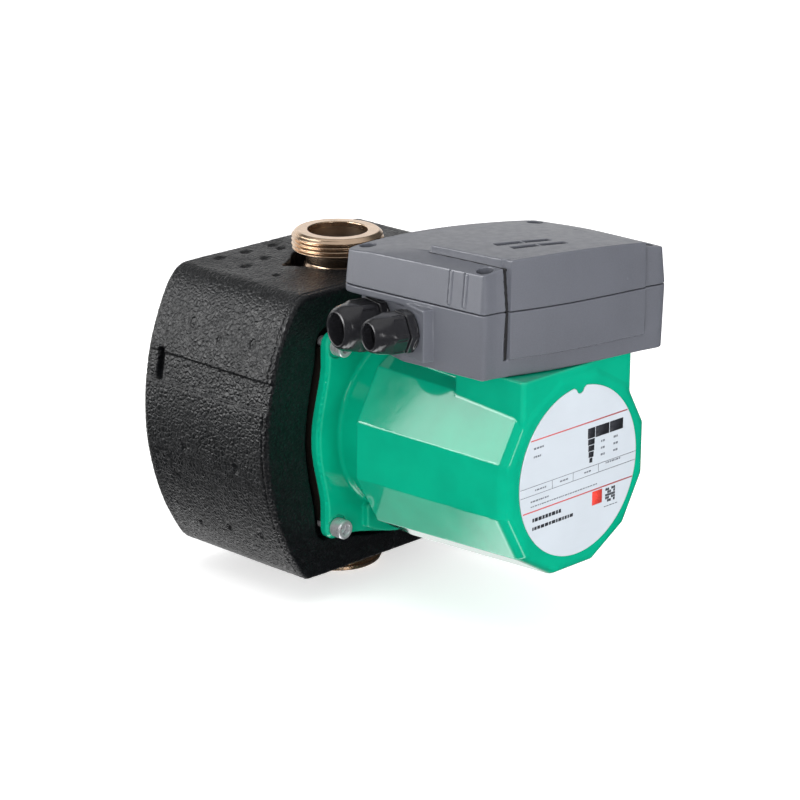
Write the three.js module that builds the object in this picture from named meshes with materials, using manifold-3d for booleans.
// Inline wet-rotor circulator pump with a foam insulation shell, built as separate pieces.
// Millimetres, +Z up along the pipe axis, motor axis along -Y, +X to the right seen from the
// motor end. The origin is where the pipe axis crosses the motor axis. Front is towards -Y and
// rear towards +Y; only in the names of bearings and windings is 'front' the pump end.
import * as THREE from 'three';
import { mergeVertices } from 'three/addons/utils/BufferGeometryUtils.js';
import Module from 'manifold-3d';

const wasm = await Module();
wasm.setup();

const radians = THREE.MathUtils.degToRad;

// ---- driving dimensions ----------------------------------------------------------------
const PORT_HALF = 90;          // port face to pipe centre
const THREAD_ROOT_R = 22.4;
const THREAD_LEN = 13;
const NECK_R = 17.5;           // pipe neck behind the thread
const BORE_R = 12.5;           // water way
const MOUTH_R = 15.5;          // widened mouth of the port

const FLANGE_R = 61;           // round part of the motor flange
const FLANGE_HALF = 54.5;      // half side of the square with the four ears
const FLANGE_EAR_R = 6.5;
const FLANGE_FRONT = -48.7;
const FLANGE_BACK = -42.3;     // mating face
const BOLT = 48;               // bolt position, both ways
const BOLT_PLACES = [[-BOLT, BOLT], [BOLT, BOLT], [BOLT, -BOLT], [-BOLT, -BOLT]];   // [x, z]
const BOLT_HOLE_R = 3.3;
const DISC_R = 43.6;           // discs of the bearing plate and the rotor can

const STATOR_R = 40.3;
const STATOR_BORE_R = 23.6;
const CAN_R = 23;
const CAN_WALL = 0.7;
const ROTOR_R = 21.6;
const SHAFT_R = 5;
const SHAFT_HOLE_R = 5.3;      // bore of the parts carried by the shaft
const BEARING_R = 9;
const BEARING_BORE_R = 5.12;
const BEARING_SEAT_R = 9.2;
const IMPELLER_R = 35;

const BOX_BOTTOM = 53.6;       // terminal box base
const BOX_PART = 86.1;         // top of the base, where the lid starts
const LEAD_HOLE = { at: [0, -110], radius: 7 };   // [x, y], through motor housing and box
const BOX_SCREWS = [[-24, -110], [24, -110]];     // [x, y]

// ---- solid helpers ---------------------------------------------------------------------
function solid(geometry) {
  geometry.deleteAttribute('normal');
  geometry.deleteAttribute('uv');
  const merged = mergeVertices(geometry, 1e-4);
  const index = merged.index.array;
  const kept = [];
  for (let i = 0; i < index.length; i += 3) {
    const [a, b, c] = index.slice(i, i + 3);
    if (a !== b && b !== c && a !== c) kept.push(a, b, c);
  }
  return new wasm.Manifold(new wasm.Mesh({
    numProp: 3,
    vertProperties: new Float32Array(merged.attributes.position.array),
    triVerts: new Uint32Array(kept),
  }));
}

function geometryOf(body) {
  const mesh = body.getMesh();
  const geometry = new THREE.BufferGeometry();
  const positions = new Float32Array(mesh.vertProperties);
  geometry.setAttribute('position', new THREE.BufferAttribute(positions, 3));
  geometry.setIndex(new THREE.BufferAttribute(new Uint32Array(mesh.triVerts), 1));
  geometry.computeVertexNormals();
  return geometry;
}

const union = (...bodies) => bodies.reduce((a, b) => a.add(b));
const cut = (body, ...tools) => tools.reduce((a, b) => a.subtract(b), body);

function box([x0, x1], [y0, y1], [z0, z1]) {
  const geometry = new THREE.BoxGeometry(x1 - x0, y1 - y0, z1 - z0);
  geometry.translate((x0 + x1) / 2, (y0 + y1) / 2, (z0 + z1) / 2);
  return solid(geometry);
}

// cylinder or cone along Y; at is [x, z]
function cylinderY(y0, y1, radius, { sides = 16, at = [0, 0], endRadius = radius } = {}) {
  const geometry = new THREE.CylinderGeometry(endRadius, radius, y1 - y0, sides);
  geometry.translate(at[0], (y0 + y1) / 2, at[1]);
  return solid(geometry);
}

// cylinder or cone along Z; at is [x, y]
function cylinderZ(z0, z1, radius, { sides = 16, at = [0, 0], endRadius = radius } = {}) {
  const geometry = new THREE.CylinderGeometry(endRadius, radius, z1 - z0, sides);
  geometry.rotateX(Math.PI / 2);
  geometry.translate(at[0], at[1], (z0 + z1) / 2);
  return solid(geometry);
}

// hollow cylinder along Y, open at both ends
const sleeve = (y0, y1, radius, boreRadius, { sides = 16, boreSides = 16 } = {}) => cut(
  cylinderY(y0, y1, radius, { sides }),
  cylinderY(y0 - 1, y1 + 1, boreRadius, { sides: boreSides }));

// 16-sided cylinder between two points
function rod(from, to, radius) {
  const start = new THREE.Vector3(...from);
  const end = new THREE.Vector3(...to);
  const geometry = new THREE.CylinderGeometry(radius, radius, start.distanceTo(end), 16);
  const direction = end.clone().sub(start).normalize();
  geometry.applyQuaternion(
    new THREE.Quaternion().setFromUnitVectors(new THREE.Vector3(0, 1, 0), direction));
  const middle = start.add(end).multiplyScalar(0.5);
  geometry.translate(middle.x, middle.y, middle.z);
  return solid(geometry);
}

// closed body through sections of equal point count, each spanning the plane 'xy' or 'xz'.
// Fan caps, about the middle of the section, keep points that lie in line along an edge.
function loft(sections, plane, { fanCaps = false } = {}) {
  const count = sections[0].length;
  const lastStart = (sections.length - 1) * count;
  const positions = sections.flat(2);
  const index = [];
  for (let lower = 0; lower < lastStart; lower += count) {
    const upper = lower + count;
    for (let i = 0; i < count; i++) {
      const j = (i + 1) % count;
      index.push(lower + i, lower + j, upper + j, lower + i, upper + j, upper + i);
    }
  }
  if (fanCaps) {
    const middle = section => section.reduce(
      (sum, point) => sum.map((value, axis) => value + point[axis] / count), [0, 0, 0]);
    const firstMiddle = lastStart + count;
    positions.push(...middle(sections[0]), ...middle(sections.at(-1)));
    for (let i = 0; i < count; i++) {
      const j = (i + 1) % count;
      index.push(firstMiddle, j, i, firstMiddle + 1, lastStart + i, lastStart + j);
    }
  } else {
    // cap triangles use each boundary edge opposite to the wall
    const outline = sections[0].map(([x, y, z]) => new THREE.Vector2(x, plane === 'xy' ? y : z));
    const isLeftTurning = points => THREE.ShapeUtils.area(points) > 0;
    const wallTurn = isLeftTurning(outline);
    for (const [p, q, r] of THREE.ShapeUtils.triangulateShape(outline, [])) {
      const flip = isLeftTurning([outline[p], outline[q], outline[r]]) === wallTurn;
      const [a, b, c] = flip ? [r, q, p] : [p, q, r];
      index.push(a, b, c, lastStart + a, lastStart + c, lastStart + b);
    }
  }
  const vertex = i => new THREE.Vector3().fromArray(positions, 3 * i);
  let volume = 0;
  for (let i = 0; i < index.length; i += 3) {
    const [a, b, c] = index.slice(i, i + 3).map(vertex);
    volume += a.dot(b.cross(c));
  }
  if (volume < 0) index.reverse();
  const geometry = new THREE.BufferGeometry();
  geometry.setAttribute('position', new THREE.Float32BufferAttribute(positions, 3));
  geometry.setIndex(index);
  return solid(geometry);
}

// lathe about Y from a profile of [radius, height] that is taken as closed
function lathe(profile, sides) {
  const points = profile.map(([radius, height]) => new THREE.Vector2(radius, height));
  if (THREE.ShapeUtils.area(points) < 0) points.reverse();
  return new THREE.LatheGeometry(points, sides);
}
const turnY = (profile, { sides = 16, at = [0, 0] } = {}) =>
  solid(lathe(profile, sides).translate(at[0], 0, at[1]));
const turnZ = (profile, sides) => solid(lathe(profile, sides).rotateX(Math.PI / 2));

const level = (points, z) => points.map(([x, y]) => [x, y, z]);
const upright = (points, y) => points.map(([x, z]) => [x, y, z]);
const prismZ = (points, z0, z1) => loft([level(points, z0), level(points, z1)], 'xy');
const prismY = (points, y0, y1) => loft([upright(points, y0), upright(points, y1)], 'xz');

const polar = (radius, angle) => [radius * Math.cos(angle), radius * Math.sin(angle)];

function roundedSquare(half, cornerRadius) {
  const steps = 5;
  const points = [];
  const corners = [[1, 1, 0], [-1, 1, 90], [-1, -1, 180], [1, -1, 270]];   // sides, start angle
  for (const [sideX, sideZ, startAngle] of corners) {
    for (let i = 0; i <= steps; i++) {
      const [x, z] = polar(cornerRadius, radians(startAngle + 90 * i / steps));
      points.push([sideX * (half - cornerRadius) + x, sideZ * (half - cornerRadius) + z]);
    }
  }
  return points;
}

// inward offset of an outline given anticlockwise
function inset(outline, distance) {
  const count = outline.length;
  const normal = (from, to) => {
    const edge = new THREE.Vector2(to[0] - from[0], to[1] - from[1]).normalize();
    return new THREE.Vector2(-edge.y, edge.x);
  };
  return outline.map((point, i) => {
    const before = normal(outline[(i + count - 1) % count], point);
    const after = normal(point, outline[(i + 1) % count]);
    const miter = before.clone().add(after).normalize();
    const reach = distance / Math.max(0.5, miter.dot(before));
    return [point[0] + miter.x * reach, point[1] + miter.y * reach];
  });
}

// hexagonal prism along Y, given its width across flats
function hexPrism(acrossFlats, y0, y1, [x, z] = [0, 0]) {
  const radius = acrossFlats / 2 / Math.cos(Math.PI / 6);
  const corners = Array.from({ length: 6 }, (_, i) => polar(radius, i * Math.PI / 3));
  return prismY(corners.map(([a, b]) => [a + x, b + z]), y0, y1);
}

// ---- materials and assembly ------------------------------------------------------------
const material = options => new THREE.MeshStandardMaterial(options);
const BRONZE = material({ color: 0xc98f62, roughness: 0.32, metalness: 1 });
const STEEL = material({ color: 0xb9bcc0, roughness: 0.3, metalness: 1 });
const COPPER = material({ color: 0xb5652f, roughness: 0.4, metalness: 1 });
const LAMINATE = material({ color: 0x777a80, roughness: 0.5, metalness: 0.8 });
const GREEN = material({ color: 0x03ac86, roughness: 0.28 });
const GREY = material({ color: 0x64676e, roughness: 0.5 });
const FOAM = material({ color: 0x141517, roughness: 0.75 });
const BLACK = material({ color: 0x0c0c0e, roughness: 0.3 });
const CARBON = material({ color: 0x222224, roughness: 0.5 });
const WHITE = material({ color: 0xd9dbdc, roughness: 0.45 });
const RUBBER = material({ color: 0x101012, roughness: 0.7 });
const PLASTIC = material({ color: 0xd8d5cc, roughness: 0.5 });
const CAPACITOR_CASE = material({ color: 0xd6d8da, roughness: 0.35 });
const LEAD_COLORS = [0x7a4a2a, 0x2a5db0, 0x1d1d1f].map(color => material({ color, roughness: 0.5 }));

const pump = new THREE.Group();

function add(name, body, meshMaterial, parent = pump) {
  const mesh = new THREE.Mesh(geometryOf(body), meshMaterial);
  mesh.name = name;
  parent.add(mesh);
}

// flange body, its outline grown by a margin
const flange = (y0, y1, margin = 0) => union(
  cylinderY(y0, y1, FLANGE_R + margin, { sides: 32 }),
  prismY(roundedSquare(FLANGE_HALF + margin, FLANGE_EAR_R + margin), y0, y1));
const drillBolts = (body, radius, y0, y1) =>
  cut(body, ...BOLT_PLACES.map(at => cylinderY(y0, y1, radius, { at })));

// ---- pump housing: round volute, rear inlet chamber, two threaded ports in line ----------
const OUTLET = { from: [0, -25, 30], to: [0, 0, 64], radius: 15.5 };

function pumpHousing() {
  const threadStart = PORT_HALF - THREAD_LEN;
  const neck = [[0, 16], [NECK_R, 16], [NECK_R, threadStart - 1.8], [THREAD_ROOT_R, threadStart],
    [THREAD_ROOT_R, PORT_HALF - 1.2], [THREAD_ROOT_R - 1.1, PORT_HALF], [0, PORT_HALF]];
  const waterWay = [[0, 58], [BORE_R, 58], [BORE_R, PORT_HALF - 14], [MOUTH_R, PORT_HALF - 11],
    [MOUTH_R, PORT_HALF + 1], [0, PORT_HALF + 1]];
  const shell = [   // [radius, y]
    [0, -41.6], [44.5, -41.6], [46, -37], [46, -9], [33, -3], [31.5, -3],
    [31.5, 22], [25, 27], [0, 27]];
  const chambers = [   // [radius, y]
    [0, -43], [44, -43], [44, -38], [40, -38], [40, -12], [17.5, -12],
    [17.5, -8.8], [27, -8.8], [27, 20], [0, 20]];
  const bothPorts = (profile, sides) => [1, -1].map(side =>
    turnZ(profile.map(([radius, z]) => [radius, z * side]), sides));
  const outer = union(
    turnY(shell, { sides: 28 }),
    flange(-41.6, -36, -0.8),
    rod(OUTLET.from, OUTLET.to, OUTLET.radius),
    ...bothPorts(neck, 28));
  const hollow = cut(outer,
    turnY(chambers, { sides: 28 }),
    rod([0, -25, 33], [0, 0, 64], 11.5),      // outlet passage
    rod([0, 0, -62], [0, 6, -20], 12),        // inlet passage
    ...bothPorts(waterWay, 20));
  return drillBolts(hollow, BOLT_HOLE_R, -42, -35);
}
add('pump_housing', pumpHousing(), BRONZE);
add('wear_ring', sleeve(-11.8, -9.2, 17.2, 15), STEEL);

// ---- rotating set ------------------------------------------------------------------------
function impellerVane(startAngle) {
  const rootRadius = 13;
  const tipRadius = IMPELLER_R - 0.3;
  const sweep = 1.26;            // radians from root to tip
  const thickness = 1.9;         // along the circumference
  const steps = 7;
  const oneFace = [];
  const otherFace = [];
  for (let i = 0; i <= steps; i++) {
    const radius = rootRadius + (tipRadius - rootRadius) * i / steps;
    const swept = sweep * Math.log(radius / rootRadius) / Math.log(tipRadius / rootRadius);
    oneFace.push(polar(radius, startAngle - swept));
    otherFace.push(polar(radius, startAngle - swept + thickness / radius));
  }
  return prismY([...oneFace, ...otherFace.reverse()], -32.4, -19.8);
}

function impeller() {
  const eyeRadius = 12.5;
  const wheel = union(
    cylinderY(-34, -32, IMPELLER_R, { sides: 24 }),
    cylinderY(-33, -23, 9),                                // hub
    sleeve(-20, -18, IMPELLER_R, eyeRadius, { sides: 24 }),
    sleeve(-18.5, -10.2, 14.5, eyeRadius),
    ...Array.from({ length: 6 }, (_, i) => impellerVane(i * Math.PI / 3)));
  return cut(wheel, cylinderY(-35, -22, SHAFT_HOLE_R));
}
add('impeller', impeller(), PLASTIC);
add('rotor_shaft', cylinderY(-143.5, -14, SHAFT_R), STEEL);
add('impeller_nut', cut(hexPrism(13, -22.7, -17), cylinderY(-23, -16, SHAFT_HOLE_R)), STEEL);
add('rotor_core', sleeve(-130, -63, ROTOR_R, SHAFT_HOLE_R, { sides: 20 }), LAMINATE);
add('thrust_washer', sleeve(-61.5, -58.5, 9.2, SHAFT_HOLE_R), CARBON);

// ---- can, bearings and bearing plate -----------------------------------------------------
function bearingPlate() {
  const plate = union(
    cylinderY(-40.2, -38.3, DISC_R, { sides: 28 }),
    cylinderY(-57, -39, 12.5),
    cylinderY(-46, -39, 20, { endRadius: 22 }));
  const smallHoles = [0, 90, 180, 270].map(angle =>
    cylinderY(-47, -37, 1.6, { sides: 8, at: polar(16, radians(angle)) }));
  return cut(plate,
    cylinderY(-58, -40.3, BEARING_SEAT_R),
    cylinderY(-41, -37, 5.8),                              // shaft passage
    ...smallHoles);
}

function rotorCan() {
  const outer = union(
    cylinderY(-147, -41, CAN_R, { sides: 24 }),
    cylinderY(-42, -40.5, DISC_R, { sides: 28 }));
  const can = cut(outer, cylinderY(-146.2, -40, CAN_R - CAN_WALL, { sides: 24 }));
  const bearingCup = cut(
    cylinderY(-146.5, -134.5, 12),
    cylinderY(-145.2, -134, BEARING_SEAT_R));
  return union(can, bearingCup);
}
add('front_bearing', sleeve(-57.6, -40.6, BEARING_R, BEARING_BORE_R), CARBON);
add('rear_bearing', sleeve(-144.6, -134, BEARING_R, BEARING_BORE_R), CARBON);
add('bearing_plate', bearingPlate(), STEEL);
add('rotor_can', rotorCan(), STEEL);
add('flange_gasket', drillBolts(
  sleeve(-42.15, -41.8, 59, 46, { sides: 28, boreSides: 24 }), 4, -43, -41), RUBBER);

// ---- motor -------------------------------------------------------------------------------
// ring with an elliptical section
function winding(y0, y1) {
  const profile = Array.from({ length: 9 }, (_, i) => {
    const [across, along] = polar(1, i / 8 * Math.PI * 2);
    return [31 + 6.5 * across, (y0 + y1) / 2 + (y1 - y0) / 2 * along];
  });
  return turnY(profile, { sides: 28 });
}
add('stator_core',
  sleeve(-140, -78, STATOR_R, STATOR_BORE_R, { sides: 28, boreSides: 24 }), LAMINATE);
add('stator_winding_front', winding(-77.7, -64), COPPER);
add('stator_winding_rear', winding(-153.5, -140.3), COPPER);

// [y, corner radius] of the twelve-sided body: chamfered end face, front, rear
const BODY_STATIONS = [[-166.3, 50.1], [-163, 53.5], [-68.5, 57.4]];

// block between the body and the terminal box, its upright corners rounded
function saddle(halfWidth, y0, y1) {
  const bottom = 20;
  const top = 53.2;
  const round = 3;
  const corners = [-1, 1].flatMap(side => [y0 + round, y1 - round].map(y =>
    cylinderZ(bottom, top, round, { at: [side * (halfWidth - round), y] })));
  return union(
    box([-halfWidth, halfWidth], [y0 + round, y1 - round], [bottom, top]),
    box([round - halfWidth, halfWidth - round], [y0, y1], [bottom, top]),
    ...corners);
}

function motorHousing() {
  const corners = radius => Array.from({ length: 12 }, (_, i) => polar(radius, radians(15 + 30 * i)));
  const lowerPad = cylinderY(-52.5, FLANGE_FRONT + 0.2, 59.6, { sides: 32 })
    .intersect(box([-30, 30], [-60, -40], [-70, -40]));
  const outer = union(
    loft(BODY_STATIONS.map(([y, radius]) => upright(corners(radius), y)), 'xz'),
    saddle(40, -162.6, -120),
    saddle(33, -121, -72),
    cylinderY(-70, FLANGE_FRONT + 0.5, 50, { sides: 28, endRadius: 46.5 }),   // round neck
    flange(FLANGE_FRONT, FLANGE_BACK),
    lowerPad);
  const body = cut(outer,
    box([-60, 60], [-180, -60], [53.3, 70]),               // flat seat of the terminal box
    cylinderY(-157.5, -42, STATOR_R + 0.3, { sides: 28 }),
    cylinderZ(30, 60, LEAD_HOLE.radius, LEAD_HOLE),
    ...BOX_SCREWS.map(at => cylinderZ(40, 60, 1.7, { sides: 8, at })));
  const drilled = drillBolts(body, BOLT_HOLE_R, -60, -41);
  return drillBolts(drilled, 6.2, -60, -47.6);             // spot faces under the screw heads
}
add('motor_housing', motorHousing(), GREEN);
add('nameplate', cut(
  cylinderY(-166.95, -166.45, 43, { sides: 32 }),
  cylinderY(-168, -166, 3, { at: [0, 42.4] })), WHITE);

const FLANGE_SCREW = [   // [radius, y]
  [0, -54.7], [4.5, -54.7], [5, -54.2], [5, -47.8], [3, -47.8], [3, -36.4], [0, -36.4]];
for (const [i, at] of BOLT_PLACES.entries()) {
  const screw = cut(turnY(FLANGE_SCREW, { at }), hexPrism(5, -55, -51.6, at));
  add(`flange_screw_${i + 1}`, screw, STEEL);
}

// ---- insulation shell in two halves, split left and right --------------------------------
const SHELL_HALF_HEIGHT = 75.3;
const SHELL_FRONT = -41.7;
const SHELL_REAR = 51;
const SHELL_SIDE = { radius: 127, furthestX: 90.6, middleZ: 3 };   // bulging side
const SHELL_SIDE_ENDS = [-69, 64];                                // z
const SHELL_GAP = 1.2;         // around the pump housing

function shellOutline() {
  const { radius, furthestX, middleZ } = SHELL_SIDE;
  const centreX = furthestX - radius;
  const sideX = z => centreX + Math.sqrt(radius ** 2 - (z - middleZ) ** 2);
  // quadratic curve from the side at z0 to the flat at (x1, z1), tangent to both
  const corner = (z0, x1, z1) => {
    const x0 = sideX(z0);
    const slope = -(z0 - middleZ) / (x0 - centreX);
    const controlX = x0 + slope * (z1 - z0);
    const points = [];
    for (let i = 1; i <= 5; i++) {
      const t = i / 6;
      const start = (1 - t) ** 2;
      const control = 2 * t * (1 - t);
      const end = t * t;
      points.push([start * x0 + control * controlX + end * x1, start * z0 + (control + end) * z1]);
    }
    return [...points, [x1, z1]];
  };
  const [low, high] = SHELL_SIDE_ENDS;
  const right = corner(low, 60, -SHELL_HALF_HEIGHT).reverse();
  for (let z = low; z <= high; z += 9.5) right.push([sideX(z), z]);
  right.push(...corner(high, 60.5, SHELL_HALF_HEIGHT));
  return [...right, ...right.map(([x, z]) => [-x, z]).reverse()];
}

function insulationShell() {
  const stations = [   // [y, inset]
    [SHELL_FRONT, 2.6], [SHELL_FRONT + 0.7, 0.9], [SHELL_FRONT + 2.4, 0],
    [SHELL_REAR - 3, 0], [SHELL_REAR - 0.9, 1.2], [SHELL_REAR, 3.4]];
  const outline = shellOutline();
  const foam = loft(stations.map(([y, depth]) => upright(inset(outline, depth), y)), 'xz');
  const voluteCavity = [   // [radius, y]
    [0, -36], [46 + SHELL_GAP, -36], [46 + SHELL_GAP, -8], [33 + SHELL_GAP, -1.6],
    [31.5 + SHELL_GAP, -1.6], [31.5 + SHELL_GAP, 22.4], [25 + SHELL_GAP, 28.2], [0, 28.2]];
  const cavity = union(
    flange(-45, -34.6, 1.6),
    turnY(voluteCavity, { sides: 24 }),
    rod(OUTLET.from, OUTLET.to, OUTLET.radius + SHELL_GAP),
    cylinderZ(18, 77.5, NECK_R + SHELL_GAP),
    cylinderZ(-77.5, -18, NECK_R + SHELL_GAP));
  // port openings, each with a four-cornered notch on either side
  const notch = [[-32, 7.6], [-22.5, -4], [-15, 0], [-9, 20]];   // [x, y]
  const openings = [[66, 80], [-80, -66]].flatMap(([z0, z1]) => [
    cylinderZ(z0, z1, 24, { sides: 24 }),
    prismZ(notch, z0, z1),
    prismZ(notch.map(([x, y]) => [-x, y]), z0, z1)]);
  return cut(foam, cavity, ...openings);
}
{
  const shell = insulationShell();
  const half = (x0, x1) => cut(shell, box([x0, x1], [-60, 70], [-100, 100]));
  add('insulation_left', half(-0.15, 120), FOAM);
  add('insulation_right', half(-120, 0.15), FOAM);
}

// ---- terminal box: its own plan axes are turned against the motor, u across and v rearward
const BOX_TURN = radians(-15);
const BOX_MIDDLE = [-2.5, -120];
const U_AXIS = new THREE.Vector3(Math.cos(BOX_TURN), Math.sin(BOX_TURN), 0);
const V_AXIS = new THREE.Vector3(-Math.sin(BOX_TURN), Math.cos(BOX_TURN), 0);
const inBox = (u, v) => [
  BOX_MIDDLE[0] + u * U_AXIS.x + v * V_AXIS.x,
  BOX_MIDDLE[1] + u * U_AXIS.y + v * V_AXIS.y];
const boxBlock = ([u0, u1], [v0, v1], [z0, z1]) =>
  prismZ([inBox(u0, v0), inBox(u1, v0), inBox(u1, v1), inBox(u0, v1)], z0, z1);

const BOX_OUTLINE = [   // [x, y], anticlockwise seen from above
  [-53.6, -152.3], [-46.5, -153.6], [-38.2, -156.1], [-30, -158.9], [-21.3, -161.6],
  [-11.5, -164.2], [-1.6, -166.3], [10.6, -168.6], [20, -170.2], [29.7, -171.6],
  [40.1, -173.4], [49, -175.2], [51.6, -174.6], [52.9, -172.4],
  [53.4, -150], [52.6, -128], [51.2, -108], [49.8, -92.8], [48.6, -90.6], [46, -89.1],
  [36, -85.2], [20, -79.8], [4, -74.8], [-14, -69.8], [-30, -66.2], [-45, -63.8],
  [-53.8, -63.1], [-58.2, -64.3], [-60.2, -67.4],
  [-59.6, -84.5], [-58.4, -101.2], [-56.5, -125.9], [-55, -147.6], [-54.7, -150.8],
];
const BOX_CORE = [   // the same plan with sharp corners, for the inside faces
  [-54.8, -152.2], [-38.2, -156.1], [-21.3, -161.6], [-1.6, -166.3], [20, -170.2],
  [40.1, -173.4], [53.2, -175.8],
  [53.4, -150], [52.6, -128], [51.2, -108], [49.4, -89.9],
  [36, -85.2], [20, -79.8], [4, -74.8], [-14, -69.8], [-30, -66.2], [-45, -63.8],
  [-60.5, -62.6], [-59.6, -84.5], [-58.4, -101.2], [-56.5, -125.9],
];
const PANEL_FRONT = [   // [x, y] of the raised panel on the front, 1 mm proud
  [-40.3, -156.5], [-38, -157.2], [-30, -159.9], [-21.3, -162.6], [-11.5, -165.2],
  [-1.6, -167.3], [10.6, -169.6], [20, -171.2], [29.7, -172.6], [38.2, -174.1]];
const PANEL_LEFT = PANEL_FRONT[0][0];
const PANEL_RIGHT = PANEL_FRONT.at(-1)[0];
const PANEL_SPAN = [2, 10];    // the panel replaces these points of BOX_OUTLINE, end excluded
const LID_SCREWS = [[-48.9, -70.2], [-47.6, -146.4], [45.6, -166.4], [42.6, -97.6]];   // [x, y]
const GLAND_SEAT = -57.5;      // u of the plane the glands sit on
const GLANDS = {   // scale acts on the radii; reach is how far the gland stands out
  large: { v: 24.5, z: 67.9, scale: 1, reach: 25, holeRadius: 9.4 },
  small: { v: -2.3, z: 70.8, scale: 0.8, reach: 22.5, holeRadius: 7.6 },
};

// hole along u through the seat wall
function glandHole({ v, z, holeRadius }) {
  const geometry = new THREE.CylinderGeometry(holeRadius, holeRadius, 10, 20);
  geometry.applyMatrix4(new THREE.Matrix4().makeBasis(
    new THREE.Vector3(0, 0, 1), U_AXIS.clone().negate(), V_AXIS.clone().negate()));
  geometry.translate(...inBox(GLAND_SEAT + 3, v), z);
  return solid(geometry);
}

function boxBase() {
  const outer = loft([level(inset(BOX_OUTLINE, 0.8), BOX_BOTTOM), level(BOX_OUTLINE, BOX_PART)], 'xy');
  const frontPanel = prismZ(
    [[PANEL_LEFT, -150], ...PANEL_FRONT, [PANEL_RIGHT, -165]], 62.9, BOX_PART);
  const seatBlock = boxBlock([GLAND_SEAT, GLAND_SEAT + 12], [-15.6, 4], [57.5, 84]);
  const posts = LID_SCREWS.map(at => cylinderZ(BOX_BOTTOM + 1, BOX_PART - 0.3, 4.6, { at }));
  const glandRecess = boxBlock([-90, GLAND_SEAT], [-15.6, 60], [40, 82.3]);
  const inner = cut(
    prismZ(inset(BOX_CORE, 3.4), BOX_BOTTOM + 3, BOX_PART + 1),
    boxBlock([-90, GLAND_SEAT + 3.2], [-19, 60], [40, 84.6]),   // keeps the walls of the recess
    ...posts);
  return cut(union(outer, frontPanel, seatBlock),
    glandRecess,
    inner,
    boxBlock([GLAND_SEAT + 3.2, GLAND_SEAT + 16], [-12.4, 5], [60, 81]),
    cylinderZ(40, 60, LEAD_HOLE.radius, LEAD_HOLE),
    ...BOX_SCREWS.map(at => cylinderZ(40, 60, 2.2, { sides: 8, at })),
    ...Object.values(GLANDS).map(glandHole),
    ...LID_SCREWS.map(at => cylinderZ(66, 90, 1.9, { sides: 8, at })));
}
add('terminal_box_base', boxBase(), GREY);
add('lid_gasket', cut(
  prismZ(inset(BOX_OUTLINE, 1.2), BOX_PART + 0.1, BOX_PART + 0.4),
  prismZ(inset(BOX_CORE, 2.9), BOX_PART - 1, BOX_PART + 1)), RUBBER);

// ---- lid: top crowned across, rising towards the front; lower shoulders by the screws ----
const LID_CREST = { rear: { x: -5, z: 105.5 }, front: { x: -16, z: 111.7 } };

function lidTopZ(x, y) {
  const crown = crest => crest.z - (x - crest.x) ** 2 / 1150;
  const rear = crown(LID_CREST.rear);
  const rearEdgeY = -77.6 - 0.25 * x;
  const depth = 86.6 + 0.03 * x;
  const forward = Math.min(1.05, Math.max(0, (rearEdgeY - y) / depth));
  return rear + (crown(LID_CREST.front) - rear) * forward;
}
const leftShoulderZ = x => 104.7 + 0.17 * (x + 57);
const rightShoulderZ = x => 104.4 + 0.17 * (52 - x);

// outline with its front replaced by the panel, moved rearward by shift
const withPanel = (outline, leftY, rightY, shift) => [
  ...outline.slice(0, PANEL_SPAN[0]),
  [PANEL_LEFT, leftY],
  ...PANEL_FRONT.map(([x, y]) => [x, y + shift]),
  [PANEL_RIGHT, rightY],
  ...outline.slice(PANEL_SPAN[1])];

function lidHollow() {
  const ceilingZ = (x, y) => Math.min(lidTopZ(x, y),
    x < -30 ? leftShoulderZ(x) : Infinity, x > 30 ? rightShoulderZ(x) : Infinity) - 3;
  const space = loft([
    level(inset(BOX_CORE, 2.9), BOX_PART),
    inset(BOX_CORE, 4.4).map(([x, y]) => [x, y, ceilingZ(x, y)])], 'xy');
  return cut(space, ...LID_SCREWS.map(at => cylinderZ(BOX_PART, 112, 6.2, { at })));
}

// two long slots across the top, each broken by a bridge
function lidSlots() {
  const turn = radians(-19);
  const halfWidth = 1.2;
  const centres = [[-7.6, -134], [-7.1, -144.2]];
  const spans = [[-15, -0.8], [0.8, 15]];
  return centres.flatMap(([x, y]) => spans.map(([start, end]) => {
    const corner = (along, across) => [
      x + along * Math.cos(turn) - across * Math.sin(turn),
      y + along * Math.sin(turn) + across * Math.cos(turn)];
    return prismZ([corner(start, -halfWidth), corner(end, -halfWidth),
      corner(end, halfWidth), corner(start, halfWidth)], 107.6, 114);
  }));
}

function boxLid() {
  const bottom = withPanel(BOX_OUTLINE, -155.4, -173.1, 0);
  const top = withPanel(inset(BOX_OUTLINE, 1.7), -153.7, -171.4, 0.4);
  const block = loft([level(bottom, BOX_PART + 0.5), top.map(([x, y]) => [x, y, lidTopZ(x, y)])], 'xy');
  const above = (outline, floorZ) =>
    loft([outline.map(([x, y]) => [x, y, floorZ(x)]), level(outline, 130)], 'xy');
  const leftPlan = [[-70, -75], [-70, -180], [-40.3, -180], [-40.3, -157], [-43.6, -107], [-46, -75]];
  const rightPlan = [[75, -180], [75, -90], [43, -90], [41.5, -118], [38.6, -157], [38.6, -180]];
  const screwHoles = LID_SCREWS.flatMap(at => [
    cylinderZ(96, 112, 4.6, { at }),
    cylinderZ(80, 97, 2.4, { sides: 8, at })]);
  return cut(block, above(leftPlan, leftShoulderZ), above(rightPlan, rightShoulderZ),
    lidHollow(), ...screwHoles, ...lidSlots());
}
add('terminal_box_lid', boxLid(), GREY);

// ---- box screws --------------------------------------------------------------------------
const slotTool = ([x, y], halfX, halfY, z0, z1) =>
  box([x - halfX, x + halfX], [y - halfY, y + halfY], [z0, z1]);

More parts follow.
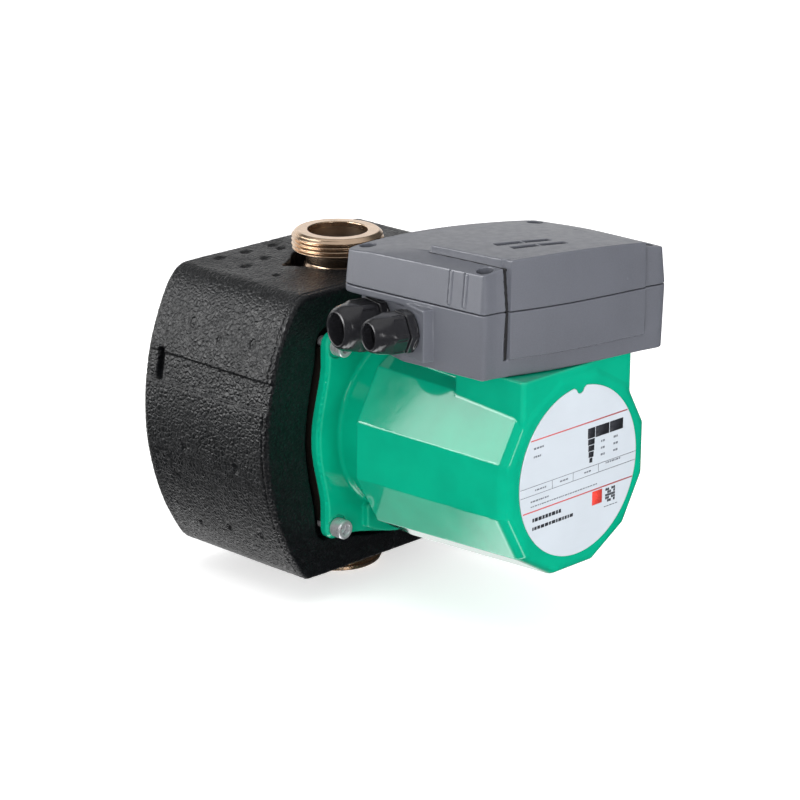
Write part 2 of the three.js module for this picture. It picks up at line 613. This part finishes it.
for (const [i, at] of LID_SCREWS.entries()) {
  const shankBottom = i === 0 ? 83 : 67.5;     // the first one stands over the glands
  const screw = union(
    cylinderZ(96.2, 98.8, 4.1, { at }),
    cylinderZ(shankBottom, 96.5, 1.6, { sides: 8, at }));
  add(`lid_screw_${i + 1}`, cut(screw,
    slotTool(at, 2.6, 0.5, 97.4, 100), slotTool(at, 0.5, 2.6, 97.4, 100)), STEEL);
}
for (const [i, at] of BOX_SCREWS.entries()) {
  const screw = union(
    cylinderZ(56.8, 59.4, 4, { at }),
    cylinderZ(43, 57, 1.5, { sides: 8, at }));
  add(`box_screw_${i + 1}`, cut(screw, slotTool(at, 2.6, 0.5, 58.2, 60)), STEEL);
}

// ---- cable glands, each in its own group whose local +Y points outwards -------------------
for (const [name, { v, z, scale, reach }] of Object.entries(GLANDS)) {
  const group = new THREE.Group();
  group.position.set(...inBox(GLAND_SEAT, v), z);
  group.quaternion.setFromRotationMatrix(new THREE.Matrix4().makeBasis(
    V_AXIS, U_AXIS.clone().negate(), new THREE.Vector3(0, 0, 1)));
  pump.add(group);

  const ring = (y, radiusAt) => Array.from({ length: 24 }, (_, i) => {
    const angle = i * Math.PI / 12;
    const [x, localZ] = polar(radiusAt(angle) * scale, angle);
    return [x, y, localZ];
  });
  const roundRing = (y, radius) => ring(y, () => radius);
  const hexRing = (y, acrossFlats) => ring(y, angle => {
    const fromCorner = ((angle + Math.PI / 6) % (Math.PI / 3)) - Math.PI / 6;
    return acrossFlats / 2 / Math.cos(Math.PI / 6 - Math.abs(fromCorner));
  });
  const tube = (y0, y1, radius) => cylinderY(y0, y1, radius * scale);

  const bodyHex = loft([hexRing(0.15, 24), hexRing(4.6, 24)], 'xz', { fanCaps: true });
  add(`gland_body_${name}`,
    cut(union(bodyHex, tube(-3.2, 14.5, 9.1)), tube(-5, 16, 7.9)), BLACK, group);
  add(`gland_seal_${name}`, sleeve(5.2, 15.2, 7.5 * scale, 5.6 * scale), RUBBER, group);

  const nut = loft([
    hexRing(5, 23.6), hexRing(reach - 9.5, 23.6),
    roundRing(reach - 8.5, 12.2), roundRing(reach - 5, 11.6),
    roundRing(reach - 1.8, 10.3), roundRing(reach, 9.3)], 'xz', { fanCaps: true });
  const nutBore = [   // [radius before scaling, y]
    [0, 4], [9.5, 4], [9.5, 15.6], [7.9, 17], [7.9, reach + 1], [0, reach + 1]];
  add(`gland_nut_${name}`,
    cut(nut, turnY(nutBore.map(([radius, y]) => [radius * scale, y]))), BLACK, group);
}

// ---- inside the terminal box -------------------------------------------------------------
const TERMINALS_U = [15, 27, 39];
const TERMINAL_PLACES = TERMINALS_U.map(u => inBox(u, -26));   // [x, y] of the screws

add('terminal_block', cut(
  boxBlock([8, 46], [-34, -18], [57, 71]),
  ...TERMINAL_PLACES.map(at => cylinderZ(64, 75, 3.2, { sides: 8, at })),
  ...TERMINALS_U.map(u => boxBlock([u - 2.5, u + 2.5], [-36, -22.5], [59, 63.6]))), PLASTIC);
for (const [i, at] of TERMINAL_PLACES.entries()) {
  const screw = cut(cylinderZ(64.2, 69.5, 2.9, { at }), slotTool(at, 3, 0.45, 68.4, 70));
  add(`terminal_screw_${i + 1}`, screw, STEEL);
}

const capacitorRod = (u0, u1, radius) =>
  rod([...inBox(u0, -24), 69], [...inBox(u1, -24), 69], radius);
add('capacitor', capacitorRod(-28.5, 6, 11), CAPACITOR_CASE);
add('capacitor_clip', cut(
  boxBlock([-17, -7], [-37.5, -10.5], [57, 70]), capacitorRod(-40, 8, 11.4)), PLASTIC);

const SWITCH_AT = inBox(39, 4);
add('speed_switch', cut(
  boxBlock([29, 49], [-6, 14], [57, 72]), cylinderZ(68, 74, 4.4, { at: SWITCH_AT })), PLASTIC);
const ARROW = [[38, 0], [40, 0], [40, 11.4], [39, 12.6], [38, 11.4]];   // [u, v]
add('speed_selector', union(
  cylinderZ(68.4, 73, 4, { at: SWITCH_AT }),
  cylinderZ(72.6, 78.4, 10, { at: SWITCH_AT, endRadius: 9 }),
  prismZ(ARROW.map(([u, v]) => inBox(u, v)), 78, 79.6)), BLACK);

// wire from the motor, up through the lead hole and over to a terminal
function motorLead(i) {
  const offset = 2.6 * (i - 1);
  const [endX, endY] = inBox(TERMINALS_U[i], -17);
  const path = new THREE.CatmullRomCurve3([
    [offset * 0.9, -110, 44],
    [offset, -110, 56],
    [offset * 1.3 + 1.5, -111 - i, 60.5 + 2.6 * i],
    [endX - 4 + 2 * (2 - i), endY + 9 - i, 62.5 + 2.4 * i],
    [endX, endY + 0.9, 61.2],
  ].map(point => new THREE.Vector3(...point)));
  const section = new THREE.Shape();
  section.absarc(0, 0, 1.1, 0, Math.PI * 2);
  return solid(new THREE.ExtrudeGeometry(section,
    { steps: 10, curveSegments: 3, extrudePath: path, bevelEnabled: false }));
}
for (const [i, color] of LEAD_COLORS.entries()) add(`motor_lead_${i + 1}`, motorLead(i), color);

export default pump;
